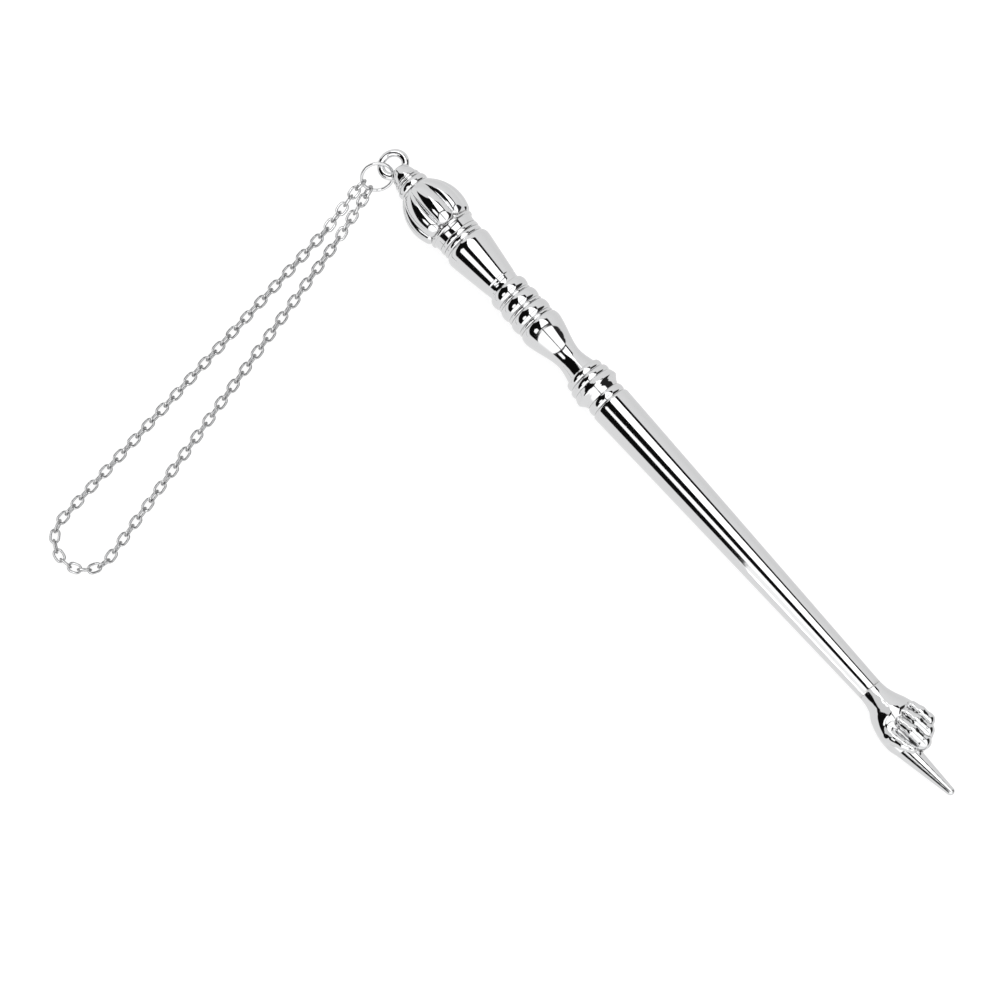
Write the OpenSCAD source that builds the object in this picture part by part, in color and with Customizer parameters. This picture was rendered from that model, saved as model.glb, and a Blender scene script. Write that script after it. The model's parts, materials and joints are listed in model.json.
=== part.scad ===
// Torah pointer (yad): a turned and plated hand-held reading pointer with a
// pointing hand at one end and an eye, a jump ring and a loop of cable chain
// at the other. It lies on a table. Units are millimetres, +Z is up.
// The pointer runs along X with its fingertip towards +X, and the chain loop
// lies on the table on the -Y side of the eye.

/* [Pointer] */
// Radius of the lobed bulb at its widest
bulb_r = 7.3; // [6.6:0.1:7.3]
// Number of lobes around the bulb
bulb_lobes = 8; // [6:1:10]
// Depth of the grooves between the lobes
groove_depth = 0.6; // [0.3:0.1:0.7]
// Wall of the hollow turned sections
wall = 1.2; // [1:0.1:1.4]
// Wall of the tapered shaft tube
tube_wall = 0.9; // [0.7:0.1:1]
// Radius of the tie rod that holds the turned sections together
rod_r = 1.5; // [1.2:0.1:1.5]
// Radial play around the tie rod and the stud
play = 0.05; // [0.03:0.01:0.1]

/* [Eye and ring] */
// Mean radius of the eye
eye_R = 2.75; // [2.7:0.05:2.8]
// Radius of the eye's wire
eye_r = 0.85; // [0.75:0.05:0.85]
// Mean radius of the jump ring
ring_R = 3.75; // [3.7:0.05:3.8]
// Radius of the jump ring's wire
ring_r = 0.4; // [0.35:0.01:0.4]

/* [Chain] */
// Wire diameter of a chain link
link_d = 0.6; // [0.55:0.01:0.6]
// Outer length of a chain link
link_L = 3.7; // [3.65:0.01:3.75]
// Outer width of a chain link
link_W = 2.6; // [2.5:0.01:2.6]
// Distance from one link to the next along the chain
pitch = 2.46; // [2.44:0.01:2.48]
// Angle by which each strand leans away from the loop's centre line
splay = 3.5; // [3.4:0.1:3.7]
// Direction of the loop, as an angle from -Y towards +X
chain_dir = 10; // [0:1:10]

/* [Hidden] */
$fn = 96;

plate = [0.87, 0.88, 0.9];
steel = [0.7, 0.71, 0.73];

// ---- stations along the pointer, from the eye's outer end ----
u_eye = 3.6;          // centre of the eye
u_neck = 8.3;         // finial meets neck collar
u_bulb0 = 11.8;
u_bulb = 19.7;        // widest point of the bulb
u_bulb1 = 24.3;
u_vase0 = 29.5;
u_bead0 = 43.9;
u_bead1 = 47.6;
u_bead2 = 51.4;
u_bal0 = 55.2;
u_col0 = 70.9;
u_fer0 = 78.5;
u_shaft0 = 80.7;
u_hand = 170;         // shaft meets hand
u_fist = 181;         // where the back of the hand rests
hand_back = 4.6;      // how far the back of the hand lies below the axis
u_tip = 200;

// ---- placing the pointer on the table ----
eye_x = -96.34;
eye_y = 56.81;
// The pointer rests on the bulb and on the back of the hand, so its axis dips
tau = asin((bulb_r - hand_back)/(u_fist - u_bulb));
function dip(p) = [p[0]*cos(tau) + p[2]*sin(tau), p[1], -p[0]*sin(tau) + p[2]*cos(tau)];
axis_z = bulb_r + (u_bulb - u_eye)*sin(tau);
eye_c = [eye_x, eye_y, axis_z];
module on_pointer() translate(eye_c) rotate([0, tau, 0]) translate([-u_eye, 0, 0]) children();

// ---- profile helpers: lists of [station, radius] ----
// half-ellipse bump between two stations
function bead(u0, u1, r0, r1, n = 12) =
    [for (i = [0:n]) let (a = 180*i/n) [(u0 + u1)/2 - (u1 - u0)/2*cos(a), r0 + (r1 - r0)*sin(a)]];
// smooth curve through hand-set points (Catmull-Rom)
function cr(a, b, c, d, t) = 0.5*((2*b) + (c - a)*t + (2*a - 5*b + 4*c - d)*t*t + (3*b - a - 3*c + d)*t*t*t);
function smooth(p, n = 5) = [for (i = [0:len(p) - 2], k = [0:(i == len(p) - 2 ? n : n - 1)])
    cr(p[max(i - 1, 0)], p[i], p[i + 1], p[min(i + 2, len(p) - 1)], k/n)];

// a turned piece: the profile spun about the pointer's axis, bored for the rod
module turned(prof, bore) {
    rotate([0, 90, 0]) difference() {
        rotate_extrude() polygon(concat(
            [[bore, prof[0][0]]],
            [for (q = prof) [q[1], q[0]]],
            [[bore, prof[len(prof) - 1][0]]]));
        children();
    }
}
// the closed cavity inside a hollow section
module cavity(prof) {
    rotate_extrude() polygon(concat(
        [[rod_r + 1, prof[0][0]]],
        [for (q = prof) [max(q[1] - wall, rod_r + 1.1), q[0]]],
        [[rod_r + 1, prof[len(prof) - 1][0]]]));
}

finial_prof = smooth([[4.9, 1.3], [5.4, 1.9], [6.2, 2.35], [7.0, 2.75], [7.8, 2.95], [8.3, 3.0]], 4);
vase_prof = concat(smooth([[29.5, 5.25], [30.6, 5.7], [32.4, 5.95], [34.5, 5.7], [38, 5.1], [41.9, 4.4]], 5),
                   [[42.2, 4.2]], smooth([[42.5, 4.15], [43.2, 4.02], [43.9, 4.1]], 3));

module eye_finial() color(plate) {
    difference() {
        union() {
            translate([u_eye, 0, 0]) rotate_extrude() translate([eye_R, 0]) circle(eye_r);
            rotate([0, 90, 0]) rotate_extrude() polygon(concat(
                [[0, 4.9]], [for (q = finial_prof) [q[1], q[0]]], [[0, 8.3]]));
        }
        // threaded socket for the tie rod
        translate([6.4, 0, 0]) rotate([0, 90, 0]) cylinder(r = rod_r + play, h = 3);
        // the eye's hole stays clear
        translate([u_eye, 0, 0]) cylinder(r = 1.3, h = 4, center = true);
    }
}

module neck_collar() color(plate)
    turned(concat(bead(8.3, 9.0, 3.1, 3.35, 6), bead(9.0, 9.8, 3.1, 3.45, 6), bead(9.8, 11.8, 3.35, 4.0, 10)), rod_r + play);

// the bulb's outline is an arc about a centre just across the axis
bulb_arc = bulb_r + 3.15;
module bulb_half(r, u0, u1) intersection() {
    translate([-3.15, 19.4]) circle(r, $fn = 160);
    translate([rod_r + play, u0]) square([10, u1 - u0]);
}
module lobed_bulb() color(plate) rotate([0, 90, 0]) difference() {
    rotate_extrude() bulb_half(bulb_arc, 11.8, 24.3);
    rotate_extrude() intersection() {
        bulb_half(bulb_arc - wall, 13, 23.1);
        translate([rod_r + 1, 13]) square([10, 10.1]);
    }
    // grooves between the lobes run along the meridians and die out at the neck
    for (i = [0:bulb_lobes - 1]) rotate([0, 0, (i + 0.5)*360/bulb_lobes])
        translate([-4.5, 0, 19.4]) rotate([90, 0, 0]) rotate_extrude()
            translate([bulb_r - groove_depth + 1 + 4.5, 0]) circle(1);
}

module bulb_collar() color(plate)
    turned(concat(bead(24.3, 25.1, 5.75, 6.0, 6), smooth([[25.1, 5.6], [26, 5.4], [27, 5.3]], 3),
                  bead(27, 28.2, 5.15, 5.45, 8), bead(28.2, 29.5, 5.0, 5.35, 8)), rod_r + play);

module vase_grip() color(plate) turned(vase_prof, rod_r + play)
    cavity([for (q = vase_prof) if (q[0] > 31 && q[0] < 41.5) q]);

module upper_bead() color(plate)
    turned(concat(bead(43.9, 46.9, 4.1, 4.88), bead(46.9, 47.6, 4.3, 4.55, 6)), rod_r + play);
module middle_bead() color(plate)
    turned(concat(bead(47.6, 50.6, 4.3, 5.02), bead(50.6, 51.4, 4.5, 4.78, 6)), rod_r + play);
module lower_bead() color(plate)
    turned(concat(bead(51.4, 54.4, 4.45, 5.15), bead(54.4, 55.2, 4.55, 4.85, 6)), rod_r + play);

module baluster() color(plate)
    turned(smooth([[55.2, 4.6], [56.2, 5.0], [57.7, 5.25], [59.2, 5.0], [60.8, 4.4], [62.6, 3.85], [64.4, 3.4],
                   [66.3, 3.15], [68, 3.3], [69.6, 3.65], [70.9, 4.0]], 4), rod_r + play);

module shaft_collar() color(plate)
    turned(concat(bead(70.9, 72.9, 4.2, 4.88, 8), bead(72.9, 74.8, 4.75, 5.35, 8),
                  smooth([[74.8, 5.3], [75.6, 5.6], [76.3, 5.7], [77, 5.2], [77.6, 4.75], [78.5, 4.4]], 4)), rod_r + play);

module shaft_ferrule() color(plate) turned(bead(78.5, 80.7, 4.3, 4.85, 10), rod_r + play);

// the shaft: a drawn tube, tapered along its whole length
function shaft_r(u) = 5.02 - (u - 81.3)*(5.02 - 2.95)/(u_hand - 81.3);
module shaft_tube() color(plate) rotate([0, 90, 0]) rotate_extrude() polygon([
    [shaft_r(81.3) - tube_wall, u_shaft0], [4.7, u_shaft0], [shaft_r(81.3), 81.3], [2.95, u_hand],
    [2.95 - tube_wall, u_hand], [shaft_r(81.3) - tube_wall, 81.3]]);

// bush soldered in the top of the shaft: the tie rod screws into it
module shaft_top_plug() color(steel) rotate([0, 90, 0]) rotate_extrude() polygon([
    [rod_r + play, 81.3], [shaft_r(81.3) - tube_wall - 0.02, 81.3], [shaft_r(89.5) - tube_wall - 0.02, 89.5], [rod_r + play, 89.5]]);

// bush soldered in the narrow end: the hand's stud screws into it
stud_r = 1.1;
module shaft_end_plug() color(steel) rotate([0, 90, 0]) rotate_extrude() polygon([
    [stud_r + play, 162], [shaft_r(162) - tube_wall - 0.02, 162], [2.95 - tube_wall - 0.02, u_hand], [stud_r + play, u_hand]]);

module tie_rod() color(steel) translate([6.6, 0, 0]) rotate([0, 90, 0]) cylinder(r = rod_r, h = 82.4);
module hand_stud() color(steel) translate([162.5, 0, 0]) rotate([0, 90, 0]) cylinder(r = stud_r, h = 13);

// ---- the hand: a right fist, palm up, with the forefinger straight ----
module ball(p, r, f = 24) translate(p) sphere(r, $fn = f);
module digit(a, ra, b, rb, f = 24) hull() { ball(a, ra, f); ball(b, rb, f); }
module pointing_hand() color(plate) difference() {
    union() {
        // wrist flaring into the palm
        rotate([0, 90, 0]) rotate_extrude($fn = 32) polygon(concat([[0, 170]],
            [for (q = smooth([[170, 2.95], [172, 3.15], [173.5, 3.55], [175, 4.1], [176.4, 4.6], [178, 4.6]], 3)) [q[1], q[0]]], [[0, 178]]));
        // palm and back of the hand
        hull() {
            ball([176.6, 0.1, 0], 4.6, 28);
            ball([181, -2.2, -1.0], 3.6);
            ball([181, 2.4, -1.1], 3.5);
            ball([184.6, -2.6, -1.1], 2.5);
            ball([185.2, 1.0, -1.0], 2.6);
            ball([183, 4.2, -0.6], 2.2);
        }
        // curled fingers: knuckle at the back, bend at the far end, tip on the palm
        hull() { ball([182.2, 4.6, -0.8], 1.8); ball([183.3, 5.2, 2.0], 1.5); ball([179, 4.35, 2.6], 1.35); }
        hull() { ball([184.6, 2.4, -1.2], 1.8); ball([185.6, 3.2, 2.4], 1.55); ball([179.4, 2.3, 3.2], 1.4); }
        hull() { ball([186, -0.2, -1.4], 1.9); ball([187.1, 0.8, 2.4], 1.6); ball([180, 0.1, 3.3], 1.4); }
        // thumb laid along the side to the base of the forefinger
        hull() { ball([177.4, -3.0, 1.0], 2.3); ball([181.4, -3.5, 2.7], 1.6); }
        digit([181.4, -3.5, 2.7], 1.6, [186, -2.2, 3.0], 1.15);
        // forefinger
        digit([183, -3.2, -0.6], 2.9, [188.5, -2.75, -0.3], 2.0);
        digit([188.5, -2.75, -0.3], 2.0, [198.95, -2.0, -0.2], 1.05);
        // lowest point of the back of the hand, where it rests
        digit([179.5, 0, -2.6], 2.0, [183, 0, -2.5], 2.0);
    }
    // hole for the stud
    translate([169, 0, 0]) rotate([0, 90, 0]) cylinder(r = stud_r + play + 0.03, h = 7, $fn = 32);
}

// ---- jump ring, leaning in the eye ----
ring_roll = 44;
ring_drop = 26;
ring_off = [-0.6, -4.6, -0.95];   // ring centre from the eye's centre
module jump_ring() color(plate) translate(eye_c) rotate([0, tau, 0]) translate(ring_off)
    rotate([ring_drop, 0, 0]) rotate([0, ring_roll, 0]) rotate_extrude() translate([ring_R, 0]) circle(ring_r);

// ---- chain ----
link_m = (link_W - link_d)/2;      // mean radius of a link's round end
link_h = (link_L - link_W)/2;      // half the straight side
tip = (link_L - link_d)/2;         // centre of the end wire from the link's centre
chain_z = link_W/2 + 0.05;         // chain centre line above the table
// one cable link, long way along Y, lying flat
module link() {
    for (s = [0, 180]) rotate([0, 0, s]) {
        translate([0, link_h, 0]) rotate_extrude(angle = 180, $fn = 48) translate([link_m, 0]) circle(link_d/2, $fn = 32);
        translate([link_m, -link_h, 0]) rotate([-90, 0, 0]) cylinder(r = link_d/2, h = 2*link_h, $fn = 32);
    }
}
// a point on the jump ring's wire, at an angle from its lowest side
function on_ring(a) = let (x = ring_R*sin(a), y = -ring_R*cos(a))
    eye_c + dip(ring_off + [x*cos(ring_roll), y*cos(ring_drop) + x*sin(ring_roll)*sin(ring_drop),
                            y*sin(ring_drop) - x*sin(ring_roll)*cos(ring_drop)]);
ring_mid = -12.8;                  // where the chain pulls on the ring
ring_gap = 22.5;                   // half the angle between the two end links
start_pts = [on_ring(ring_mid - ring_gap), on_ring(ring_mid + ring_gap)];
start_c = (start_pts[0] + start_pts[1])/2;
// plan directions of the loop: along it, and across it
along = [sin(chain_dir), -cos(chain_dir), 0];
across = [cos(chain_dir), sin(chain_dir), 0];

n_strand = 44;                     // links in each straight strand
n_turn = 5;                        // steps round the end of the loop
bend = (90 + splay)/n_turn;
function head(i) = i <= n_strand ? splay : splay - (i - n_strand)*bend;
// where link i stands, across and along, counted from the last straight link
function turn_x(i) = i <= n_strand ? 0 : turn_x(i - 1) + pitch/2*(sin(head(i - 1)) + sin(head(i)));
function turn_y(i) = i <= n_strand ? 0 : turn_y(i - 1) + pitch/2*(cos(head(i - 1)) + cos(head(i)));
x_last = -turn_x(n_strand + n_turn);
// the first fold is at the far tip of link 6
first_run = 0.91 + (n_strand - 7)*pitch;   // from that fold to the last straight link
x_fold = x_last - first_run*sin(splay);
drop_A = start_pts[0][2] - chain_z;
len_A = 0.82 + 5*pitch + tip;
y_fold = sqrt(len_A*len_A - drop_A*drop_A);
function plan(x, y) = [start_c[0], start_c[1], 0] + across*x + along*y;
// fold point of one strand (side -1 or 1)
function fold_pt(s) = plan(s*x_fold, y_fold) + [0, 0, chain_z];
function side_start(s) = start_pts[s < 0 ? 0 : 1];

// links 1 to 6 hang between the ring and the table
module hung_link(s, i) {
    a = side_start(s);
    v = fold_pt(s) - a;
    l = norm(v);
    step = (l - 0.82 - tip)/5;
    // the first link of the left strand turns a little, to sit square on the ring's wire
    first = s < 0 && i == 1;
    c = a + v*(first ? 0.84 : 0.82 + (i - 1)*step)/l + (first ? [0.15, 0, -0.15] : [0, 0, 0]);
    yaw = atan2(v[0], -v[1]) - (first ? 10 : 0);
    slope = asin(-v[2]/l) - (first ? 5 : 0);
    lean = first ? 35 : i < 5 ? 45*(5 - i)/4 : 0;
    translate(c) rotate([0, 0, yaw]) rotate([slope, 0, 0]) rotate([0, (i%2 == 1 ? 90 : 0) + lean, 0]) link();
}
// links from 7 on lie on the table
module lying_link(s, i) {
    d = 0.91 + (i - 7)*pitch;
    p = i <= n_strand
        ? plan(s*(x_fold + d*sin(splay)), y_fold + d*cos(splay))
        : plan(s*(x_last + turn_x(i)), y_fold + first_run*cos(splay) + turn_y(i));
    translate(p + [0, 0, chain_z]) rotate([0, 0, chain_dir + s*head(i)])
        rotate([0, i%2 == 1 ? 90 : 0, 0]) link();
}
module run(i0) color(plate) for (s = [-1, 1], i = [i0:i0 + 5]) lying_link(s, i);

module chain_links_top() color(plate) for (s = [-1, 1], i = [1:6]) hung_link(s, i);
module chain_links_end() color(plate) {
    for (s = [-1, 1], i = [43:n_strand + n_turn - 1]) lying_link(s, i);
    lying_link(1, n_strand + n_turn);
}

// values the joints use
echo(tau = tau, eye_c = eye_c, start_pts = start_pts, fold = [fold_pt(-1), fold_pt(1)], x_fold = x_fold, y_fold = y_fold, x_last = x_last);

on_pointer() eye_finial();
on_pointer() neck_collar();
on_pointer() lobed_bulb();
on_pointer() bulb_collar();
on_pointer() vase_grip();
on_pointer() upper_bead();
on_pointer() middle_bead();
on_pointer() lower_bead();
on_pointer() baluster();
on_pointer() shaft_collar();
on_pointer() shaft_ferrule();
on_pointer() shaft_tube();
on_pointer() shaft_top_plug();
on_pointer() shaft_end_plug();
on_pointer() tie_rod();
on_pointer() hand_stud();
on_pointer() pointing_hand();
jump_ring();
chain_links_top();
run(7);  // chain_links_1
run(13);  // chain_links_2
run(19);  // chain_links_3
run(25);  // chain_links_4
run(31);  // chain_links_5
run(37);  // chain_links_6
chain_links_end();
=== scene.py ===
"""Looks of a plated Torah pointer with a ring and a loop of cable chain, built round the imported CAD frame."""
import bpy, json, math
import numpy as np
from mathutils import Matrix, Vector

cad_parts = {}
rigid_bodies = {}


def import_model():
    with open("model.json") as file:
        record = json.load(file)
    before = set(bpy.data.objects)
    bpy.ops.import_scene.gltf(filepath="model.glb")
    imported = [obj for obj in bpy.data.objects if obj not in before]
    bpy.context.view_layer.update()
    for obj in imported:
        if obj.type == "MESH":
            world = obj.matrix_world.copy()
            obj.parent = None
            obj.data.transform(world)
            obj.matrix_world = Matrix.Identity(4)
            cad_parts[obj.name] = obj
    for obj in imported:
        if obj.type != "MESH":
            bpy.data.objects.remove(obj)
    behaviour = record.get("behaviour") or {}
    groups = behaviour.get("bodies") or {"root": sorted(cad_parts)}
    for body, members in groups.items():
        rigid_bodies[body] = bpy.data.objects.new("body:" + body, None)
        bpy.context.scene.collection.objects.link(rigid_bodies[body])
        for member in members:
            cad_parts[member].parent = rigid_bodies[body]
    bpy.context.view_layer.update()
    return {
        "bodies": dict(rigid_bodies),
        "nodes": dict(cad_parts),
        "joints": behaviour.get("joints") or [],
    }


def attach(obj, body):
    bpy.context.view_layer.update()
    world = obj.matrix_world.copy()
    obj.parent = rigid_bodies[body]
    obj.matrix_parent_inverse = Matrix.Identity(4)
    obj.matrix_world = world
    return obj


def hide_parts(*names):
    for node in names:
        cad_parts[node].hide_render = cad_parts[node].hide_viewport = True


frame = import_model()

nodes, bodies, joints = frame["nodes"], frame["bodies"], {j["name"]: j for j in frame["joints"]}
MM = 0.001
rad = math.radians


def vec(x):
    return np.array([x[0], x[1], x[2]], float)


# ------------------------------------------------------------------ where things are
ring_joint = joints["ring_slide"]
EYE = vec(ring_joint["pos_m"]) * 1000.0           # centre of the eye, in mm from here on
ax = vec(ring_joint["axis"]); ax /= np.linalg.norm(ax)
TAU = math.atan2(ax[0], ax[2])                    # dip of the pointer's axis
U_EYE = 3.6


def dip(p):
    """pointer-local offset (mm) to row frame offset"""
    p = np.asarray(p, float)
    c, s = math.cos(TAU), math.sin(TAU)
    out = p.copy()
    out[..., 0] = p[..., 0] * c + p[..., 2] * s
    out[..., 2] = -p[..., 0] * s + p[..., 2] * c
    return out


def on_pointer(p):
    """pointer-local (u, y, z) in mm to row frame in metres"""
    q = np.asarray(p, float).copy()
    q[..., 0] -= U_EYE
    return (dip(q) + EYE) * MM


# ------------------------------------------------------------------ mesh helpers
def mesh_obj(name, co, faces, smooth=40.0):
    """co in metres; faces is an array (n,4) or (n,3) or a list of them"""
    me = bpy.data.meshes.new(name)
    blocks = faces if isinstance(faces, list) else [faces]
    blocks = [np.asarray(b, np.int32) for b in blocks if len(b)]
    loops = np.concatenate([b.ravel() for b in blocks])
    sizes = np.concatenate([np.full(len(b), b.shape[1], np.int32) for b in blocks])
    starts = np.concatenate([[0], np.cumsum(sizes)[:-1]]).astype(np.int32)
    me.vertices.add(len(co)); me.vertices.foreach_set("co", np.asarray(co, np.float32).ravel())
    me.loops.add(len(loops)); me.loops.foreach_set("vertex_index", loops)
    me.polygons.add(len(sizes)); me.polygons.foreach_set("loop_start", starts)
    me.update(calc_edges=True); me.validate()
    me.polygons.foreach_set("use_smooth", np.ones(len(me.polygons), bool))
    if smooth is not None:
        me.set_sharp_from_angle(angle=rad(smooth))
    me.update()
    o = bpy.data.objects.new(name, me)
    bpy.context.scene.collection.objects.link(o)
    return o


def grid_faces(n, m, wrap_n=False, wrap_m=True, base=0):
    """quads of a grid with n rows and m columns"""
    i = np.arange(n if wrap_n else n - 1); j = np.arange(m if wrap_m else m - 1)
    I, J = np.meshgrid(i, j, indexing="ij")
    I2, J2 = (I + 1) % n, (J + 1) % m
    return np.stack([I * m + J, I * m + J2, I2 * m + J2, I2 * m + J], -1).reshape(-1, 4) + base


def bead(u0, u1, r0, r1, n=20):
    a = np.linspace(0, math.pi, n + 1)
    return [((u0 + u1) / 2 - (u1 - u0) / 2 * math.cos(t), r0 + (r1 - r0) * math.sin(t)) for t in a]


def smooth(p, n=10):
    out = []
    for i in range(len(p) - 1):
        a, b, c, d = p[max(i - 1, 0)], p[i], p[i + 1], p[min(i + 2, len(p) - 1)]
        for k in range(n + 1 if i == len(p) - 2 else n):
            t = k / n
            out.append(tuple(0.5 * ((2 * b[q]) + (c[q] - a[q]) * t + (2 * a[q] - 5 * b[q] + 4 * c[q] - d[q]) * t * t
                                    + (3 * b[q] - a[q] - 3 * c[q] + d[q]) * t ** 3) for q in (0, 1)))
    return out


def clean(profile, eps=1e-4):
    out = [profile[0]]
    for q in profile[1:]:
        if math.hypot(q[0] - out[-1][0], q[1] - out[-1][1]) > eps:
            out.append(q)
    return out


def lathe(name, profile, bore, seg=192, smooth_deg=38.0):
    """a turned ring-shaped solid: the profile [(u, r)] closed along its bore"""
    p = clean(profile)
    loop = np.array(p + [(p[-1][0], bore), (p[0][0], bore)])
    th = np.linspace(0, 2 * math.pi, seg, endpoint=False)
    u = np.repeat(loop[:, 0][:, None], seg, 1)
    y = loop[:, 1][:, None] * np.cos(th)[None]
    z = loop[:, 1][:, None] * np.sin(th)[None]
    co = on_pointer(np.stack([u, y, z], -1).reshape(-1, 3))
    return mesh_obj(name, co, grid_faces(len(loop), seg, wrap_n=True)[:, ::-1], smooth_deg)


# ------------------------------------------------------------------ materials
class G:
    """small helper to write node graphs"""

    def __init__(self, tree):
        self.t = tree

    def new(self, kind, **kw):
        n = self.t.nodes.new(kind)
        for k, v in kw.items():
            setattr(n, k, v)
        return n

    def put(self, socket, v):
        if isinstance(v, bpy.types.NodeSocket):
            self.t.links.new(v, socket)
        else:
            socket.default_value = v

    def math(self, op, a, b=0.0, c=0.0, clamp=False):
        n = self.new("ShaderNodeMath", operation=op, use_clamp=clamp)
        self.put(n.inputs[0], a); self.put(n.inputs[1], b)
        if op in ("MULTIPLY_ADD", "SMOOTH_MIN", "COMPARE"):
            self.put(n.inputs[2], c)
        return n.outputs[0]

    def step(self, x, lo, hi, a=0.0, b=1.0):
        """smoothstep from a at lo to b at hi"""
        n = self.new("ShaderNodeMapRange", interpolation_type="SMOOTHSTEP", clamp=True)
        self.put(n.inputs["Value"], x)
        self.put(n.inputs["From Min"], lo); self.put(n.inputs["From Max"], hi)
        self.put(n.inputs["To Min"], a); self.put(n.inputs["To Max"], b)
        return n.outputs["Result"]

    def ramp_lin(self, x, lo, hi, a, b):
        n = self.new("ShaderNodeMapRange", interpolation_type="LINEAR", clamp=True)
        self.put(n.inputs["Value"], x)
        self.put(n.inputs["From Min"], lo); self.put(n.inputs["From Max"], hi)
        self.put(n.inputs["To Min"], a); self.put(n.inputs["To Max"], b)
        return n.outputs["Result"]

    def mix(self, f, a, b):
        """a + f (b - a) for numbers"""
        n = self.new("ShaderNodeMix", data_type="FLOAT")
        self.put(n.inputs[0], f); self.put(n.inputs[2], a); self.put(n.inputs[3], b)
        return n.outputs[0]

    def mixc(self, f, a, b):
        n = self.new("ShaderNodeMix", data_type="RGBA")
        self.put(n.inputs[0], f); self.put(n.inputs[6], a); self.put(n.inputs[7], b)
        return n.outputs[2]

    def noise(self, vec_, scale, detail=2.0, rough=0.5, distortion=0.0):
        n = self.new("ShaderNodeTexNoise")
        self.put(n.inputs["Vector"], vec_)
        n.inputs["Scale"].default_value = scale; n.inputs["Detail"].default_value = detail
        n.inputs["Roughness"].default_value = rough; n.inputs["Distortion"].default_value = distortion
        return n.outputs["Fac"]


def plated(name, tint=(0.80, 0.803, 0.81), rough=0.03, spread=0.05, scratch=0.10, wave=0.25, lathe_lines=False, brushed=False, recess_shade=0.0):
    """bright nickel-like plating: faint haze, hairline polishing marks, painted shade in the creases (a darker, warm
    tint), and optional painted near-black shade in the recesses
    """
    m = bpy.data.materials.new(name); m.use_nodes = True
    t = m.node_tree; t.nodes.clear(); g = G(t)
    out = g.new("ShaderNodeOutputMaterial"); b = g.new("ShaderNodeBsdfPrincipled")
    t.links.new(b.outputs[0], out.inputs[0])
    b.inputs["Metallic"].default_value = 1.0
    b.inputs["IOR"].default_value = 1.5
    tc = g.new("ShaderNodeTexCoord").outputs["Object"]
    sep = g.new("ShaderNodeSeparateXYZ"); g.put(sep.inputs[0], tc)
    # long soft haze
    haze = g.noise(tc, 260.0, 3.0, 0.55)
    fine = g.noise(tc, 1500.0, 2.0, 0.5)
    # hairline polishing marks, drawn out along the piece
    mp = g.new("ShaderNodeMapping"); g.put(mp.inputs["Vector"], tc)
    mp.inputs["Scale"].default_value = (0.10, 1.0, 1.0) if not lathe_lines else (1.0, 0.05, 0.05)
    mp.inputs["Rotation"].default_value = (0.0, 0.0, 0.12)
    hair = g.noise(mp.outputs[0], 5200.0 if not brushed else 3000.0, 4.0, 0.62)
    hairs = g.step(hair, 0.60, 0.72)
    geo = g.new("ShaderNodeNewGeometry")
    # painted shade: concave creases (low pointiness) get a darker, warm-tinted base colour below, and a rougher finish
    crease = g.step(geo.outputs["Pointiness"], 0.492, 0.45)
    rough_ = g.math("MULTIPLY_ADD", haze, spread, rough)
    rough_ = g.math("MULTIPLY_ADD", hairs, scratch, rough_)
    rough_ = g.math("MULTIPLY_ADD", crease, 0.10, rough_, clamp=True)
    g.put(b.inputs["Roughness"], rough_)
    # painted shade colour for the creases: the tint darkened and warmed
    crease_shade_tint = tuple(c * k for c, k in zip(tint, (0.80, 0.775, 0.74)))
    base = g.mixc(g.math("MULTIPLY", haze, 0.10), (*tint, 1), (*[c * 0.93 for c in tint], 1))
    base = g.mixc(g.math("MULTIPLY", crease, 0.55), base, (*crease_shade_tint, 1))
    if recess_shade:
        # painted shade: recesses of the casting darkened towards near-black
        deep_shade = g.step(geo.outputs["Pointiness"], 0.492, 0.455)
        base = g.mixc(g.math("MULTIPLY", deep_shade, recess_shade), base, (0.05, 0.05, 0.052, 1))
    g.put(b.inputs["Base Color"], base)
    h = g.math("MULTIPLY_ADD", fine, 0.25, g.math("MULTIPLY", haze, wave))
    h = g.math("MULTIPLY_ADD", hairs, -0.18 if not brushed else -0.9, h)
    bump = g.new("ShaderNodeBump"); bump.inputs["Strength"].default_value = 0.05 if not brushed else 0.35
    bump.inputs["Distance"].default_value = 0.00004
    g.put(bump.inputs["Height"], h)
    g.put(b.inputs["Normal"], bump.outputs[0])
    return m


M_PLATE = plated("plating_bright")
# the hand's plating carries strong painted shade in its recesses
M_HAND = plated("plating_cast", rough=0.03, spread=0.05, wave=0.4, recess_shade=0.85)
M_RING = plated("ring_wire", tint=(0.74, 0.745, 0.755), rough=0.05, spread=0.07, scratch=0.06)
M_CHAIN = plated("chain_wire", tint=(0.48, 0.485, 0.495), rough=0.02, spread=0.03, scratch=0.05, wave=0.3)
M_STEEL = plated("rod_steel_brushed", tint=(0.62, 0.63, 0.65), rough=0.24, spread=0.10, scratch=0.16, lathe_lines=True, brushed=True)


def dress(o, mat, body, slot, *replaced):
    o.data.materials.clear(); o.data.materials.append(mat)
    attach(o, body)
    if replaced:
        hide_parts(*replaced)
    return o


# ------------------------------------------------------------------ turned sections
BORE = 1.56
finial_prof = smooth([(4.9, 1.3), (5.4, 1.9), (6.2, 2.35), (7.0, 2.75), (7.8, 2.95), (8.3, 3.0)], 10)


def torus_pts(R, r, n=144, m=48):
    a = np.linspace(0, 2 * math.pi, n, endpoint=False)[:, None]
    b = np.linspace(0, 2 * math.pi, m, endpoint=False)[None]
    x = (R + r * np.cos(b)) * np.cos(a); y = (R + r * np.cos(b)) * np.sin(a); z = r * np.sin(b) + 0 * a
    return np.stack([x, y, z], -1)


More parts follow.
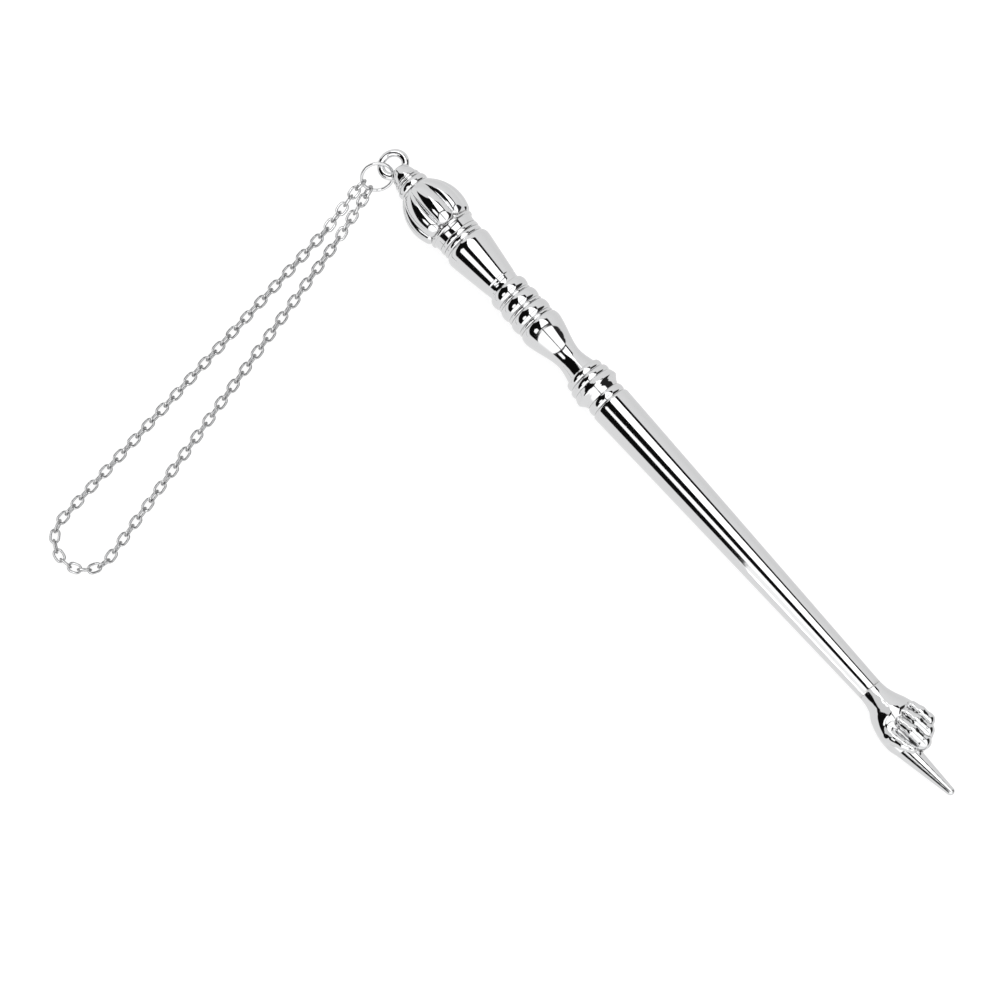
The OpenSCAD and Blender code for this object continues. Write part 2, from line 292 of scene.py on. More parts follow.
# --- surface nets on a signed distance grid, used where castings flow together
def surface_nets(f, lo, h):
    nx, ny, nz = f.shape
    s = f < 0
    c = [s[dx:nx - 1 + dx, dy:ny - 1 + dy, dz:nz - 1 + dz] for dx in (0, 1) for dy in (0, 1) for dz in (0, 1)]
    tot = sum(x.astype(np.int8) for x in c)
    act = (tot > 0) & (tot < 8)
    idx = np.argwhere(act)
    vid = -np.ones(act.shape, np.int64); vid[act] = np.arange(len(idx))
    acc = np.zeros((len(idx), 3)); cnt = np.zeros(len(idx))
    corner = {(dx, dy, dz): f[idx[:, 0] + dx, idx[:, 1] + dy, idx[:, 2] + dz] for dx in (0, 1) for dy in (0, 1) for dz in (0, 1)}
    for a in corner:
        for axis in range(3):
            if a[axis] == 0:
                b = list(a); b[axis] = 1; b = tuple(b)
                fa, fb = corner[a], corner[b]
                hit = (fa < 0) != (fb < 0)
                t = np.where(hit, fa / np.where(fa == fb, 1, fa - fb), 0)
                p = np.array(a, float)[None] + np.zeros((len(idx), 3)); p[:, axis] += t
                acc[hit] += p[hit]; cnt[hit] += 1
    co = lo + h * (idx + acc / cnt[:, None])
    quads = []
    for axis in range(3):
        o1, o2 = [(1, 2), (2, 0), (0, 1)][axis]
        sl_a = [slice(1, -1)] * 3; sl_b = [slice(1, -1)] * 3
        sl_a[axis] = slice(0, f.shape[axis] - 1); sl_b[axis] = slice(1, f.shape[axis])
        A, B = s[tuple(sl_a)], s[tuple(sl_b)]
        e = np.argwhere(A != B)
        if not len(e):
            continue
        inside_a = A[tuple(e.T)]
        base = e.copy()
        for k in range(3):
            if k != axis:
                base[:, k] += 1
        def at(d1, d2):
            q = base.copy(); q[:, o1] -= d1; q[:, o2] -= d2
            return vid[q[:, 0], q[:, 1], q[:, 2]]
        q = np.stack([at(0, 0), at(1, 0), at(1, 1), at(0, 1)], -1)
        q = np.where(inside_a[:, None], q, q[:, ::-1])
        quads.append(q)
    return co, np.concatenate(quads)


def smin(a, b, k):
    h = np.clip(0.5 + 0.5 * (b - a) / k, 0, 1)
    return b * (1 - h) + a * h - k * h * (1 - h)


def smax(a, b, k):
    return -smin(-a, -b, k)


class Field:
    def __init__(self, lo, hi, h):
        self.lo, self.h = np.array(lo, float), h
        n = np.ceil((np.array(hi) - self.lo) / h).astype(int) + 1
        ax_ = [self.lo[k] + h * np.arange(n[k]) for k in range(3)]
        self.X, self.Y, self.Z = (a.astype(np.float32) for a in np.meshgrid(*ax_, indexing="ij"))

    def cone(self, a, ra, b, rb, flat=None):
        """capsule with two radii"""
        a, b = np.array(a, float), np.array(b, float)
        d = b - a; L2 = d @ d
        px, py, pz = self.X - a[0], self.Y - a[1], self.Z - a[2]
        t = np.clip((px * d[0] + py * d[1] + pz * d[2]) / L2, 0, 1)
        return np.sqrt((px - t * d[0]) ** 2 + (py - t * d[1]) ** 2 + (pz - t * d[2]) ** 2) - (ra + t * (rb - ra))

    def ell(self, c, r, M=None):
        p = np.stack([self.X - c[0], self.Y - c[1], self.Z - c[2]], -1)
        if M is not None:
            p = p @ np.asarray(M, np.float32)
        k = np.sqrt(((p / np.array(r, np.float32)) ** 2).sum(-1))
        k2 = np.sqrt(((p / (np.array(r, np.float32) ** 2)) ** 2).sum(-1)) + 1e-6
        return k * (k - 1) / k2


def field_mesh(name, F, f, smooth_deg=None, relax=2):
    co, quads = surface_nets(f, F.lo, F.h)
    # a light two-way relaxation takes the grid's steps out
    e = np.concatenate([quads[:, [0, 1]], quads[:, [1, 2]], quads[:, [2, 3]], quads[:, [3, 0]]])
    e = np.unique(np.sort(e, 1), axis=0)
    deg = np.bincount(e.ravel(), minlength=len(co)).astype(float)[:, None]
    for _ in range(relax):
        for lam in (0.5, -0.52):
            s = np.zeros_like(co)
            for k in range(3):
                s[:, k] = np.bincount(e[:, 0], co[e[:, 1], k], len(co)) + np.bincount(e[:, 1], co[e[:, 0], k], len(co))
            co = co + lam * (s / deg - co)
    return mesh_obj(name, on_pointer(co), quads, smooth_deg)


# eye finial: the eye's wire flows into the bell below it
F = Field((-0.6, -4.6, -3.5), (8.6, 4.6, 3.5), 0.085)
rr = np.sqrt((F.X - U_EYE) ** 2 + (F.Y * 0.90) ** 2)
f_eye = np.sqrt((rr - 2.72) ** 2 + F.Z ** 2) - 0.88
pu, pr = np.array([q[0] for q in finial_prof]), np.array([q[1] for q in finial_prof])
rad_here = np.interp(F.X, pu, pr)
slope_here = np.interp(F.X, pu, np.gradient(pr, pu))
f_bell = (np.sqrt(F.Y ** 2 + F.Z ** 2) - rad_here) / np.sqrt(1 + np.clip(slope_here, 0, 1.2) ** 2)
f_bell = smax(f_bell, 4.95 - F.X, 0.5)
f = smin(f_eye, f_bell, 0.35)
f = np.maximum(f, F.X - 8.3)
f = np.maximum(f, -np.maximum(np.sqrt(F.Y ** 2 + F.Z ** 2) - BORE, 6.45 - F.X))
finial = field_mesh("eye_finial_cast", F, f, 50.0)
dress(finial, M_PLATE, "pointer", "plated", "eye_finial")

neck = lathe("neck_collar_turned", bead(8.3, 9.0, 3.1, 3.35, 14) + bead(9.0, 9.8, 3.1, 3.45, 14) + bead(9.8, 11.8, 3.35, 4.0, 20), BORE)
dress(neck, M_PLATE, "pointer", "plated", "neck_collar")


# gadrooned bulb: full lobes between sharp creases, pointed at the neck and scalloped at the collar
def bulb():
    n_phi, n_v = 640, 150
    lobes = 8
    phi = np.linspace(0, 2 * math.pi, n_phi, endpoint=False) + math.pi / 8
    c = np.abs(((phi - math.pi / 2 - rad(-3.0)) * lobes / (2 * math.pi) + 0.5) % 1.0 - 0.5) * 2      # 0 on a lobe, 1 in a crease
    v = np.linspace(0, 1, n_v) ** 1.0
    crown = 1 - np.sqrt(1 - (0.93 * c) ** 2)                        # circular lobe section
    crown /= 1 - math.sqrt(1 - 0.93 ** 2)
    u_end = 24.28 - 0.75 * c ** 3
    U = 11.8 + v[:, None] * (u_end[None] - 11.8)
    base = -3.15 + np.sqrt(np.clip(10.45 ** 2 - (U - 19.4) ** 2, 0.01, None))
    depth = np.interp(v, [0, 0.08, 0.3, 0.55, 0.8, 0.93, 1.0], [0.05, 0.35, 0.95, 1.25, 1.25, 1.05, 0.8])
    R = base - depth[:, None] * crown[None] * (0.80 + 0.20 * c[None])
    # the lower end turns in over the collar
    w = np.clip((v - 0.925) / 0.075, 0, 1)
    R = R - (0.95 * (1 - np.sqrt(1 - 0.97 * w ** 2)))[:, None]
    co = np.stack([U, R * np.cos(phi)[None], R * np.sin(phi)[None]], -1)
    # seat face at the collar and end face at the neck, closed along the bore
    def ring(u, r):
        return np.stack([np.full(n_phi, u), r * np.cos(phi), r * np.sin(phi)], -1)
    rows = [*co, ring(24.28, 4.9), ring(24.28, BORE), ring(11.8, BORE)]
    P = np.stack(rows).reshape(-1, 3)
    return mesh_obj("lobed_bulb_gadrooned", on_pointer(P), grid_faces(len(rows), n_phi, wrap_n=True)[:, ::-1], 34.0)


dress(bulb(), M_PLATE, "pointer", "plated", "lobed_bulb")

turned = {
    "bulb_collar": bead(24.3, 25.1, 5.75, 6.0, 14) + smooth([(25.1, 5.6), (26, 5.4), (27, 5.3)], 8)
    + bead(27, 28.2, 5.15, 5.45) + bead(28.2, 29.5, 5.0, 5.35),
    "vase_grip": smooth([(29.5, 5.05), (29.8, 5.45), (30.3, 5.74), (30.9, 5.86), (31.6, 5.84), (32.6, 5.70)], 8)
    + [(32.6 + 0.465 * k, 5.70 - 0.0715 * k) for k in range(1, 21)] + [(42.2, 4.12)] + smooth([(42.5, 4.15), (43.2, 4.02), (43.9, 4.1)], 8),
    "upper_bead": bead(43.9, 46.9, 4.1, 4.88, 28) + bead(46.9, 47.6, 4.3, 4.55, 14),
    "middle_bead": bead(47.6, 50.6, 4.3, 5.02, 28) + bead(50.6, 51.4, 4.5, 4.78, 14),
    "lower_bead": bead(51.4, 54.4, 4.45, 5.15, 28) + bead(54.4, 55.2, 4.55, 4.85, 14),
    "baluster": smooth([(55.2, 4.7), (55.7, 5.05), (56.4, 5.22), (57.3, 5.22), (58.3, 5.04), (59.4, 4.78), (60.8, 4.38), (62.6, 3.85), (64.4, 3.4),
                        (66.3, 3.15), (68, 3.3), (69.6, 3.65), (70.9, 4.0)], 12),
    "shaft_collar": bead(70.9, 72.9, 4.2, 4.88, 20) + bead(72.9, 74.8, 4.75, 5.35, 20)
    + smooth([(74.8, 5.3), (75.6, 5.6), (76.3, 5.7), (77, 5.2), (77.6, 4.75), (78.5, 4.4)], 10),
    "shaft_ferrule": bead(78.5, 80.7, 4.3, 4.85, 24),
}
for node, prof in turned.items():
    dress(lathe(node + "_turned", prof, BORE), M_PLATE, "pointer", "plated", node)

# shaft: a drawn tube with a softly rounded shoulder
r_a = np.linspace(0, math.pi / 2, 9)
shaft_prof = [(80.7 + 0.6 * (1 - math.cos(a)) , 4.62 + 0.40 * math.sin(a)) for a in r_a]
shaft_prof += [(u, 5.02 - (u - 81.3) * (5.02 - 2.95) / (170 - 81.3)) for u in np.linspace(81.8, 169.9, 60)]
shaft_prof += [(170.0, 2.93)]
dress(lathe("shaft_tube_drawn", shaft_prof, 2.02, 192, 30.0), M_PLATE, "pointer", "plated", "shaft_tube")


# ------------------------------------------------------------------ the hand
def hand():
    h = 0.125
    F = Field((169.9, -7.2, -5.3), (200.6, 7.2, 5.4), h)
    # wrist
    wp = smooth([(170, 2.95), (172, 3.15), (173.5, 3.55), (175, 4.1), (176.4, 4.55), (178, 4.6), (180, 3.8)], 8)
    wu, wr = np.array([q[0] for q in wp]), np.array([q[1] for q in wp])
    rw = np.interp(F.X, wu, wr); sw = np.interp(F.X, wu, np.gradient(wr, wu))
    wrist = (np.sqrt((F.Y * 1.0) ** 2 + (F.Z * 1.04) ** 2) - rw) / np.sqrt(1 + sw ** 2)
    wrist = smax(wrist, F.X - 179.0, 1.6)
    # palm body
    palm = F.ell((180.2, 0.1, -0.7), (5.6, 5.0, 3.7))
    palm = smin(palm, F.ell((181.0, -2.6, -0.8), (5.0, 3.5, 3.3)), 1.4)
    palm = smin(palm, F.ell((181.6, 2.9, -1.0), (4.2, 3.3, 3.1)), 1.4)
    body = smin(wrist, palm, 1.8)
    # back of the hand
    body = smin(body, F.cone((179.5, 0, -2.6), 2.0, (183, 0, -2.5), 2.0), 1.2)
    # heel of the palm, where the thumb grows out
    body = smin(body, F.cone((176.6, -2.4, 0.6), 2.3, (180.4, -3.8, 1.6), 2.1), 1.2)
    # the front of the fist is full
    body = smin(body, F.ell((184.0, 1.7, -0.2), (3.6, 3.9, 2.9)), 0.9)
    # fingers: knuckle at the back, first bend at the far end, then back over the palm with the tip tucked in
    def finger(K, P, D, T, rk, rp, rd, rt):
        a = F.cone(K, rk, P, rp)
        b = F.cone(P, rp, D, rd)
        c = F.cone(D, rd, T, rt)
        # swelling of the joints
        j1 = F.ell(P, (rp * 1.01, rp * 1.03, rp * 1.01)); j2 = F.ell(D, (rd * 1.02, rd * 1.05, rd * 1.02))
        f_ = smin(smin(a, b, 0.35), c, 0.25)
        f_ = smin(smin(f_, j1, 0.3), j2, 0.25)
        return f_
    def nail(T, D, r):
        """a thin plate set on the back of the last phalanx"""
        T, D = np.array(T, float), np.array(D, float)
        d = (T - D) / np.linalg.norm(T - D)
        side = np.array([0, 1.0, 0]); up = np.cross(d, side); up /= np.linalg.norm(up)
        if up[2] < 0:
            up = -up
        side = np.cross(up, d)
        c = T - d * 0.10 * r + up * (r * 0.72)
        M = np.stack([d, side, up], 1)
        return F.ell(c, (r * 0.72, r * 0.60, r * 0.34), M)
    little = finger((182.8, 4.6, -1.0), (183.7, 4.95, 1.7), (181.4, 4.75, 2.75), (179.2, 4.40, 2.3), 1.85, 1.60, 1.42, 1.20)
    ring = finger((184.8, 2.5, -1.2), (185.3, 3.15, 2.0), (182.3, 2.80, 3.2), (179.5, 2.25, 2.7), 2.05, 1.75, 1.55, 1.28)
    middle = finger((186.2, -0.1, -1.3), (186.7, 0.85, 2.0), (183.3, 0.55, 3.3), (180.1, 0.0, 2.8), 2.1, 1.82, 1.62, 1.34)
    fingers = np.minimum(np.minimum(smin(little, ring, 0.14), middle), 1e3)
    fingers = smin(smin(little, ring, 0.12), middle, 0.12)
    nails = np.minimum(np.minimum(nail((179.2, 4.40, 2.3), (181.4, 4.75, 2.75), 1.26), nail((179.5, 2.25, 2.7), (182.3, 2.80, 3.2), 1.36)),
                       nail((180.1, 0.0, 2.8), (183.3, 0.55, 3.3), 1.42))
    fingers = smin(fingers, nails, 0.06)
    # thumb: ball, first and last phalanx along the fist, nail on top
    thumb = F.cone((177.6, -3.0, 0.9), 2.2, (181.6, -3.55, 2.35), 1.62)
    thumb = smin(thumb, F.cone((181.6, -3.55, 2.35), 1.62, (184.2, -3.0, 3.05), 1.38), 0.4)
    thumb = smin(thumb, F.cone((184.2, -3.0, 3.05), 1.38, (186.5, -2.15, 3.0), 1.05), 0.3)
    tn = F.ell((186.2, -2.30, 3.86), (0.98, 0.66, 0.33), np.stack([[0.94, 0.34, 0.0], [-0.34, 0.94, 0.0], [0, 0, 1.0]], 1))
    thumb = smin(thumb, tn, 0.06)
    # forefinger: one long smooth taper, nail underneath (back of the hand)
    A, T = (183.2, -3.15, -0.7), (198.95, -1.95, -0.2)
    fore = F.cone(A, 2.72, T, 0.98)
    fnail = F.ell((198.35, -2.0, -1.06), (1.25, 0.62, 0.25))
    fore = smin(fore, fnail, 0.05)
    f = smin(body, fore, 0.9)
    f = smin(f, fingers, 0.28)
    f = smin(f, thumb, 0.22)
    f = smax(f, -4.42 - F.Z, 0.4)
    f = np.maximum(f, 170.02 - F.X)
    return field_mesh("pointing_hand_cast", F, f, 55.0, 2)


dress(hand(), M_HAND, "pointer", "plated", "pointing_hand")

# ------------------------------------------------------------------ jump ring
RING_OFF = np.array([-0.6, -4.6, -0.95]); ROLL, DROP = rad(44), rad(26)


def rot(axis, a):
    c, s = math.cos(a), math.sin(a)
    return {"x": np.array([[1, 0, 0], [0, c, -s], [0, s, c]]), "y": np.array([[c, 0, s], [0, 1, 0], [-s, 0, c]]),
            "z": np.array([[c, -s, 0], [s, c, 0], [0, 0, 1]])}[axis]


def wire_loop(path, r, m=22, seam=None, seam_depth=0.10, seam_w=0.06, closed=True):
    """tube along a closed path (mm), planar normal given by the path's own frame; returns points and quads"""
    n = len(path)
    t = np.roll(path, -1, 0) - np.roll(path, 1, 0); t /= np.linalg.norm(t, axis=1)[:, None]
    c = path.mean(0); nrm = np.linalg.svd(path - c)[2][2]
    side = np.cross(t, nrm); side /= np.linalg.norm(side, axis=1)[:, None]
    rr_ = np.full(n, r)
    if seam is not None:
        d = np.linalg.norm(path - path[seam], axis=1)
        rr_ = r * (1 - seam_depth * np.exp(-(d / seam_w) ** 2))
    b = np.linspace(0, 2 * math.pi, m, endpoint=False)
    co = path[:, None] + rr_[:, None, None] * (np.cos(b)[None, :, None] * side[:, None] + np.sin(b)[None, :, None] * nrm[None, None])
    return co.reshape(-1, 3), grid_faces(n, m, wrap_n=True)


a = np.linspace(0, 2 * math.pi, 240, endpoint=False)
ring_local = np.stack([3.75 * np.cos(a), 3.75 * np.sin(a), 0 * a], -1)
ring_path = EYE + dip(RING_OFF + ring_local @ (rot("x", DROP) @ rot("y", ROLL)).T)
co, q = wire_loop(ring_path, 0.40, 28, seam=205, seam_depth=0.13, seam_w=0.05)
dress(mesh_obj("jump_ring_wire", co * MM, q, 40.0), M_RING, "jump_ring", "ring", "jump_ring")

# ------------------------------------------------------------------ chain
PITCH, SPLAY, CDIR, N_STRAND, N_TURN = 2.46, 3.5, 10.0, 44, 5
LINK_M, LINK_H, TIP, CZ = 1.0, 0.55, 1.55, 1.35
BEND = (90 + SPLAY) / N_TURN


def on_ring(deg):
    t = rad(deg)
    x, y = 3.75 * math.sin(t), -3.75 * math.cos(t)
    return EYE + dip(RING_OFF + (rot("x", DROP) @ rot("y", ROLL)) @ np.array([x, y, 0.0]))


starts = [on_ring(-12.8 - 22.5), on_ring(-12.8 + 22.5)]
start_c = (starts[0] + starts[1]) / 2
along = np.array([math.sin(rad(CDIR)), -math.cos(rad(CDIR)), 0]); across = np.array([math.cos(rad(CDIR)), math.sin(rad(CDIR)), 0])


def head(i):
    return SPLAY if i <= N_STRAND else SPLAY - (i - N_STRAND) * BEND


def turn_x(i):
    return 0.0 if i <= N_STRAND else turn_x(i - 1) + PITCH / 2 * (math.sin(rad(head(i - 1))) + math.sin(rad(head(i))))


def turn_y(i):
    return 0.0 if i <= N_STRAND else turn_y(i - 1) + PITCH / 2 * (math.cos(rad(head(i - 1))) + math.cos(rad(head(i))))


x_last = -turn_x(N_STRAND + N_TURN)
first_run = 0.91 + (N_STRAND - 7) * PITCH
x_fold = x_last - first_run * math.sin(rad(SPLAY))
drop_a = starts[0][2] - CZ
len_a = 0.82 + 5 * PITCH + TIP
y_fold = math.sqrt(len_a ** 2 - drop_a ** 2)
LAST = N_STRAND + N_TURN


def plan(x, y):
    return np.array([start_c[0], start_c[1], 0]) + across * x + along * y


def fold_pt(s):
    return plan(s * x_fold, y_fold) + np.array([0, 0, CZ])


def link_path(n=56, bulge=0.03):
    """centre line of one cable link, long way along Y: a stadium with slightly bowed sides"""
    k = n // 2
    pts = []
    arc = math.pi * LINK_M; straight = 2 * LINK_H; total = 2 * (arc + straight)
    for q in np.arange(n) * total / n:
        if q < arc:
            t = q / LINK_M; pts.append((LINK_M * math.cos(t), LINK_H + LINK_M * math.sin(t)))
        elif q < arc + straight:
            w = (q - arc) / straight; pts.append((-LINK_M - bulge * math.sin(math.pi * w), LINK_H - straight * w))
        elif q < 2 * arc + straight:
            t = math.pi + (q - arc - straight) / LINK_M; pts.append((LINK_M * math.cos(t), -LINK_H + LINK_M * math.sin(t)))
        else:
            w = (q - 2 * arc - straight) / straight; pts.append((LINK_M + bulge * math.sin(math.pi * w), -LINK_H + straight * w))
    return np.array([(x, y, 0.0) for x, y in pts])


LP = link_path()
rng = np.random.default_rng(7)
sway = {s: np.convolve(rng.normal(0, 1, LAST + 12), np.ones(5) / 5, "same") for s in (-1, 1)}


def link_at(c, yaw, slope, roll):
    A = rot("z", rad(yaw)) @ rot("x", rad(slope)) @ rot("y", rad(roll))
    return LP @ A.T + c


def hung(s, i):
    a_ = starts[0] if s < 0 else starts[1]
    v = fold_pt(s) - a_; l = np.linalg.norm(v); step = (l - 0.82 - TIP) / 5
    first = s < 0 and i == 1
    c = a_ + v * (0.84 if first else 0.82 + (i - 1) * step) / l + (np.array([0.15, 0, -0.15]) if first else 0)
    yaw = math.degrees(math.atan2(v[0], -v[1])) - (10 if first else 0)
    slope = math.degrees(math.asin(-v[2] / l)) - (5 if first else 0)
    lean = 35 if first else (45 * (5 - i) / 4 if i < 5 else 0)
    return link_at(c, yaw, slope, (90 if i % 2 else 0) + lean)


def lying(s, i):
    d = 0.91 + (i - 7) * PITCH
    if i <= N_STRAND:
        p = plan(s * (x_fold + d * math.sin(rad(SPLAY))), y_fold + d * math.cos(rad(SPLAY)))
    else:
        p = plan(s * (x_last + turn_x(i)), y_fold + first_run * math.cos(rad(SPLAY)) + turn_y(i))
    wob = 7.0 * sway[s][i]
    return link_at(p + np.array([0, 0, CZ]), CDIR + s * head(i), 0, (90 if i % 2 else 0) + wob)


def chain_piece(name, links, body, node):
    cos, quads, base = [], [], 0
    for k, path in enumerate(links):
        co, q = wire_loop(path, 0.30, 18, seam=21 if k % 2 else 49, seam_depth=0.12, seam_w=0.07)
        cos.append(co); quads.append(q + base); base += len(co)
    o = mesh_obj(name, np.concatenate(cos) * MM, np.concatenate(quads), 45.0)
    return dress(o, M_CHAIN, body, "chain", node)


chain_piece("chain_top_wire", [hung(s, i) for s in (-1, 1) for i in range(1, 7)], "chain_top", "chain_links_top")
for k in range(6):
    chain_piece(f"chain_{k + 1}_wire", [lying(s, i) for s in (-1, 1) for i in range(7 + 6 * k, 13 + 6 * k)], f"chain_{k + 1}", f"chain_links_{k + 1}")
chain_piece("chain_end_wire", [lying(s, i) for s in (-1, 1) for i in range(43, LAST)] + [lying(1, LAST)], "chain_end", "chain_links_end")

# ------------------------------------------------------------------ inner steel parts keep their CAD shape
for n in ("tie_rod", "hand_stud", "shaft_top_plug", "shaft_end_plug"):
    me = nodes[n].data
    me.materials.clear(); me.materials.append(M_STEEL)

# ------------------------------------------------------------------ floor, light and camera
def floor():
    s = 6.0
    me = bpy.data.meshes.new("floor")
    me.from_pydata([(-s, -s, -0.00002), (s, -s, -0.00002), (s, s, -0.00002), (-s, s, -0.00002)], [], [(0, 1, 2, 3)])
    o = bpy.data.objects.new("floor", me); bpy.context.scene.collection.objects.link(o)
    m = bpy.data.materials.new("floor_white"); m.use_nodes = True
    t = m.node_tree; t.nodes.clear(); g = G(t)
    out = g.new("ShaderNodeOutputMaterial"); d = g.new("ShaderNodeBsdfDiffuse"); e = g.new("ShaderNodeEmission")
    add = g.new("ShaderNodeAddShader")
    tc = g.new("ShaderNodeTexCoord").outputs["Object"]
    n = g.noise(tc, 900.0, 2.0)
    col = g.mixc(n, (0.30, 0.30, 0.30, 1), (0.31, 0.31, 0.31, 1))
    g.put(d.inputs["Color"], col)
    e.inputs["Color"].default_value = (1, 1, 1, 1); e.inputs["Strength"].default_value = FLOOR_GLOW
    t.links.new(d.outputs[0], add.inputs[0]); t.links.new(e.outputs[0], add.inputs[1]); t.links.new(add.outputs[0], out.inputs[0])
    me.materials.append(m)
    # the metal sees the grey studio below the horizon, not the lit sheet
    o.visible_glossy = False
    return o


FLOOR_GLOW = 0.80
floor()


def world():
    w = bpy.data.worlds.new("studio"); bpy.context.scene.world = w; w.use_nodes = True
    t = w.node_tree; t.nodes.clear(); g = G(t)
    out = g.new("ShaderNodeOutputWorld"); bg = g.new("ShaderNodeBackground")
    t.links.new(bg.outputs[0], out.inputs[0])
    tc = g.new("ShaderNodeTexCoord").outputs["Generated"]
    sp = g.new("ShaderNodeSeparateXYZ"); g.put(sp.inputs[0], tc)
    x, y, z = sp.outputs
    deg = 180 / math.pi
    xi = g.math("MULTIPLY", g.math("ARCSINE", g.math("MAXIMUM", g.math("MINIMUM", x, 0.9999), -0.9999)), deg)
    eta = g.math("MULTIPLY", g.math("ARCTAN2", y, z), deg)

    def band(v, lo, hi, soft=1.2):
        """1 between lo and hi, which may themselves be sockets"""
        a_ = g.math("MULTIPLY", g.math("SUBTRACT", v, lo), 1 / soft)
        b_ = g.math("MULTIPLY", g.math("SUBTRACT", hi, v), 1 / soft)
        m_ = g.math("MINIMUM", a_, b_)
        return g.step(m_, -1.0, 1.0)

    def both(*v):
        r = v[0]
        for q in v[1:]:
            r = g.math("MULTIPLY", r, q)
        return r
    # studio walls and far floor: pale all round
    L = g.ramp_lin(eta, 45.0, 100.0, 0.86, 0.78)
    L = g.mix(g.step(eta, -68.0, -80.0), L, 0.86)
    # dark ceiling over the pointer, closing to a point towards -X
    lo_e = g.math("ADD", g.ramp_lin(xi, -80.0, -45.0, -40.0, -62.0), g.ramp_lin(xi, -45.0, -12.0, 0.0, -12.0))
    hi_e = g.math("ADD", g.ramp_lin(xi, -80.0, -45.0, -38.0, -2.0), g.ramp_lin(xi, -45.0, -13.0, 0.0, 54.0))
    dark = both(band(eta, lo_e, hi_e, 1.5), band(xi, -80.0, 12.5, 1.2))
    L = g.mix(dark, L, 0.004)
    # overhead softbox
    box_lo = g.math("ADD", g.ramp_lin(xi, -42.0, -12.0, 20.0, 4.0), g.ramp_lin(xi, -9.0, 6.0, 0.0, -7.0))
    box_hi = g.math("ADD", g.ramp_lin(xi, -42.0, -12.0, 23.0, 37.5), g.ramp_lin(xi, -9.0, 4.0, 0.0, 3.0))
    box = both(band(eta, box_lo, box_hi, 1.0), band(xi, -42.0, 9.5, 1.0))
    L = g.mix(box, L, 1.8)
    # low strip of light on the -Y side, opening towards +X
    half = g.ramp_lin(xi, -10.2, -5.0, 0.5, 11.5)
    strip = both(band(eta, g.math("SUBTRACT", -34.0, half), g.math("ADD", -34.0, half), 0.8), band(xi, -12.0, 9.5, 1.0))
    L = g.mix(strip, L, 1.3)
    # broad light wall on the +X side, with a dark frame line and a dark flag
    side = g.step(xi, 12.0, 13.2)
    wall = g.mix(g.step(eta, 47.0, 49.0), 1.35, 0.02)
    wall = g.mix(g.step(eta, 98.0, 104.0), wall, 0.80)
    wall = g.mix(band(eta, -7.5, -2.0, 0.8), wall, 0.02)
    wall = g.mix(g.step(eta, -62.0, -84.0), wall, 0.88)
    L = g.mix(side, L, wall)
    g.put(bg.inputs["Color"], (1, 1, 1, 1))
    g.put(bg.inputs["Strength"], L)
    return w


world()

# one broad, weak overhead light grounds the object without drawing a shape in the metal
ld = bpy.data.lights.new("overhead", "AREA"); ld.shape = "RECTANGLE"; ld.size = 0.9; ld.size_y = 0.6; ld.energy = 2.2
lo_ = bpy.data.objects.new("overhead", ld); bpy.context.scene.collection.objects.link(lo_)
lo_.location = (0.05, 0.12, 0.75); lo_.rotation_euler = (Vector((0, 0, 0)) - Vector(lo_.location)).to_track_quat("-Z", "Y").to_euler()
lo_.visible_glossy = False; lo_.visible_camera = False


def card(name, centre, target, size, radiance, receivers):
    """a reflector card: seen only in the metal of the pieces named"""
    d = bpy.data.lights.new(name, "AREA"); d.shape = "RECTANGLE"; d.size, d.size_y = size
    d.energy = radiance * math.pi * size[0] * size[1]
    o = bpy.data.objects.new(name, d); bpy.context.scene.collection.objects.link(o)
    o.location = centre
    o.rotation_euler = (Vector(target) - Vector(centre)).to_track_quat("-Z", "Y").to_euler()
    o.visible_camera = False; o.visible_diffuse = False
    c = bpy.data.collections.new(name + "_on")
    for r in receivers:
        c.objects.link(bpy.data.objects[r])
    o.light_linking.receiver_collection = c
    return o


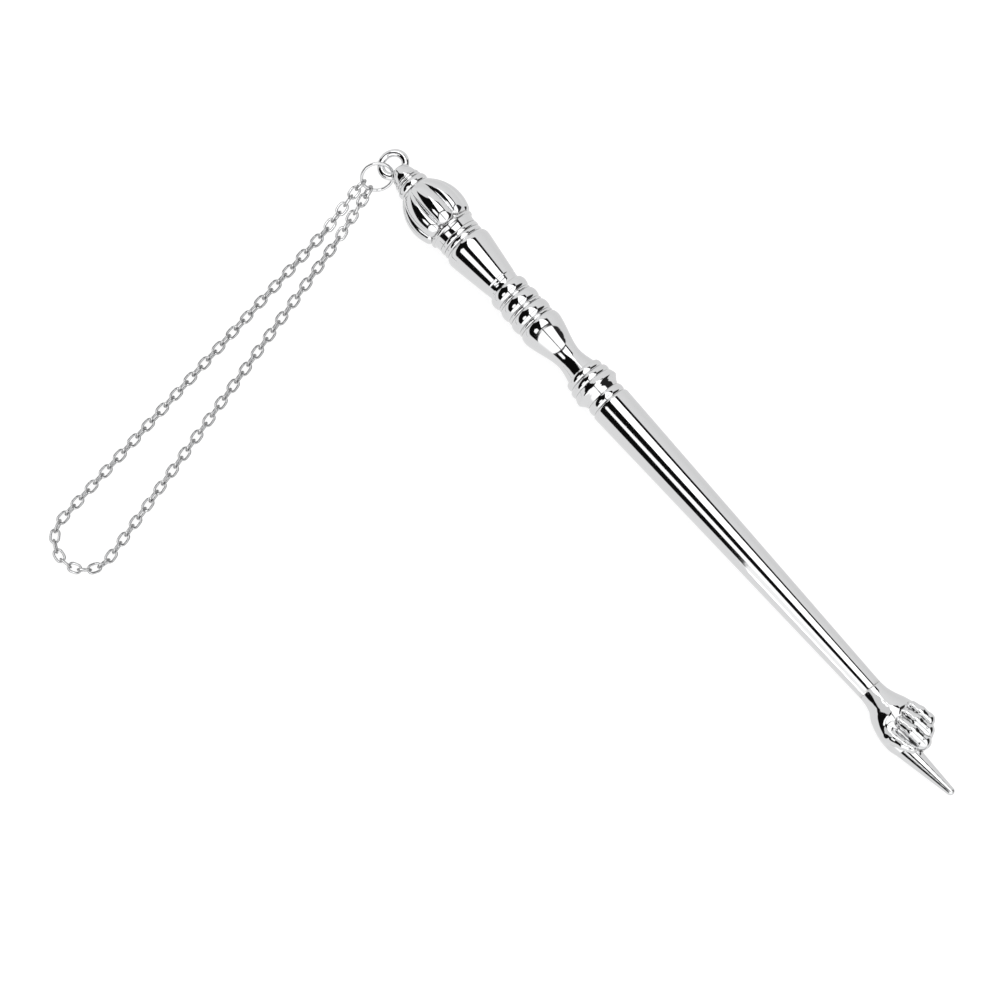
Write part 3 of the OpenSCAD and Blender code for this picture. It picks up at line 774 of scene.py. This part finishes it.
def towards(xi_deg, eta_deg, dist, origin):
    """the point seen from origin at that lean towards +X and that angle from the zenith towards +Y"""
    x_, e_ = rad(xi_deg), rad(eta_deg)
    d = np.array([math.sin(x_), math.cos(x_) * math.sin(e_), math.cos(x_) * math.cos(e_)])
    return tuple(np.array(origin) + dist * d)


o_hand = (EYE[0] * MM + 0.176, EYE[1] * MM, 0.006)
card("card_hand", towards(-44, -16, 1.0, o_hand), o_hand, (0.75, 1.4), 0.74, ["pointing_hand_cast"])
card("card_shaft", (0.085, EYE[1] * MM - 0.12, 0.060), (0.085, EYE[1] * MM, 0.012), (0.13, 0.10), 1.1, ["shaft_tube_drawn"])

o_chain = (EYE[0] * MM + 0.01, EYE[1] * MM - 0.06, 0.002)
card("card_chain", towards(-14, -30, 1.0, o_chain), o_chain, (1.1, 0.5), 3.2, ["chain_top_wire", "chain_end_wire"] + ["chain_%d_wire" % k for k in range(1, 7)])

# camera: above the pointer, leaning towards its tip
PSI, PITCH_DEG, YAW_DEG, TX, TY, F_PX, DIST = 47.803, 9.957, 6.342, -20.61, 23.17, 3653.0, 850.0


def camera():
    a_ = rad(PSI)
    Rh = np.array([math.cos(a_), math.sin(a_), 0]); Fw = np.array([-math.sin(a_), math.cos(a_), 0]); Z = np.array([0, 0, 1.0])
    back = Z - Fw * math.tan(rad(PITCH_DEG)) + Rh * math.tan(rad(YAW_DEG)); back /= np.linalg.norm(back)
    right = Rh - back * (Rh @ back); right /= np.linalg.norm(right)
    up = np.cross(back, right)
    loc = (np.array([TX, TY, 0]) + DIST * back) * MM
    cd = bpy.data.cameras.new("camera"); cd.sensor_width = 36.0; cd.lens = F_PX * 36.0 / 1000.0
    cd.clip_start, cd.clip_end = 0.05, 20.0
    c = bpy.data.objects.new("camera", cd); bpy.context.scene.collection.objects.link(c)
    c.matrix_world = Matrix(((right[0], up[0], back[0], loc[0]), (right[1], up[1], back[1], loc[1]), (right[2], up[2], back[2], loc[2]), (0, 0, 0, 1)))
    bpy.context.scene.camera = c


camera()
bpy.context.scene.view_settings.view_transform = "Standard"
bpy.context.scene.view_settings.look = "None"
